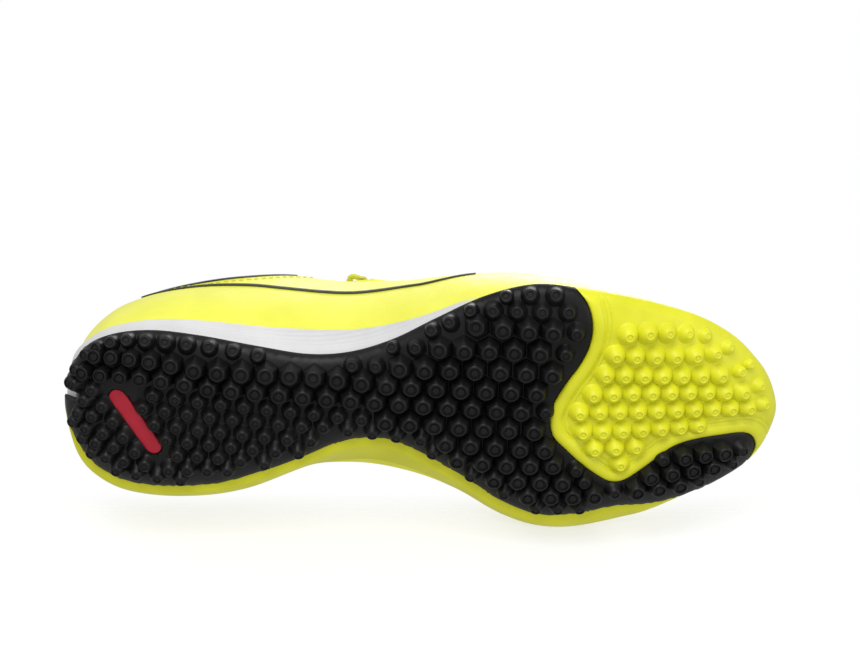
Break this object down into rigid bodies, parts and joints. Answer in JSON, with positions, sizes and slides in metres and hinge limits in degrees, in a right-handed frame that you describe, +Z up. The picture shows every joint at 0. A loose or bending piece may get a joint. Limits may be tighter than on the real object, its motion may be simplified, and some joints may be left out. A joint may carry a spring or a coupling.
{
  "type": "football turf shoe",
  "caption": "Right football turf shoe with a moulded rubber studded sole, foam wedge midsole, coated synthetic upper, padded collar, tongue and lace.",
  "frame": {"origin": "on the ground, under the middle of the shoe's bounding box", "axes": "+Z up, toe towards -Y, heel towards +Y, big-toe (medial) side towards +X"},
  "size_m": [0.1118, 0.2947, 0.1011],
  "materials": {
    "rubber_black": "moulded black rubber, fine matte",
    "rubber_volt": "moulded yellow-green rubber, satin",
    "eva_white": "white closed-cell foam skin, matte",
    "synthetic_volt": "smooth coated synthetic, yellow-green, soft sheen",
    "inlay_red": "moulded red rubber",
    "trim_black": "dark trim",
    "textile_black": "knitted lining",
    "foam_grey": "open-cell padding foam",
    "board_tan": "woven board",
    "stiffener": "thermoplastic stiffener sheet",
    "lace_volt": "braided lace"
  },
  "bodies": {
    "shoe": {"outsole_main": "rubber_black", "outsole_toe": "rubber_volt", "medial_rand": "rubber_volt", "heel_inlay": "inlay_red", "midsole": "eva_white", "strobel_board": "board_tan", "sockliner": "textile_black", "upper": "synthetic_volt", "eyestay_lateral": "synthetic_volt", "eyestay_medial": "synthetic_volt", "toe_puff": "stiffener", "heel_counter": "stiffener", "vamp_lining": "textile_black", "collar_lining": "textile_black", "collar_foam": "foam_grey", "collar_binding": "trim_black", "side_piping": "trim_black", "lace": "lace_volt"},
    "tongue": {"tongue_shell": "synthetic_volt", "tongue_foam": "foam_grey", "tongue_lining": "textile_black"}
  },
  "joints": [
    {"name": "tongue_hinge", "type": "hinge", "parent": "shoe", "child": "tongue", "pos_m": [-0.0018, -0.03505, 0.0605], "axis": [1, 0, 0], "range_deg": [-9, 0], "stiffness_Nm_per_rad": 0.5}
  ]
}
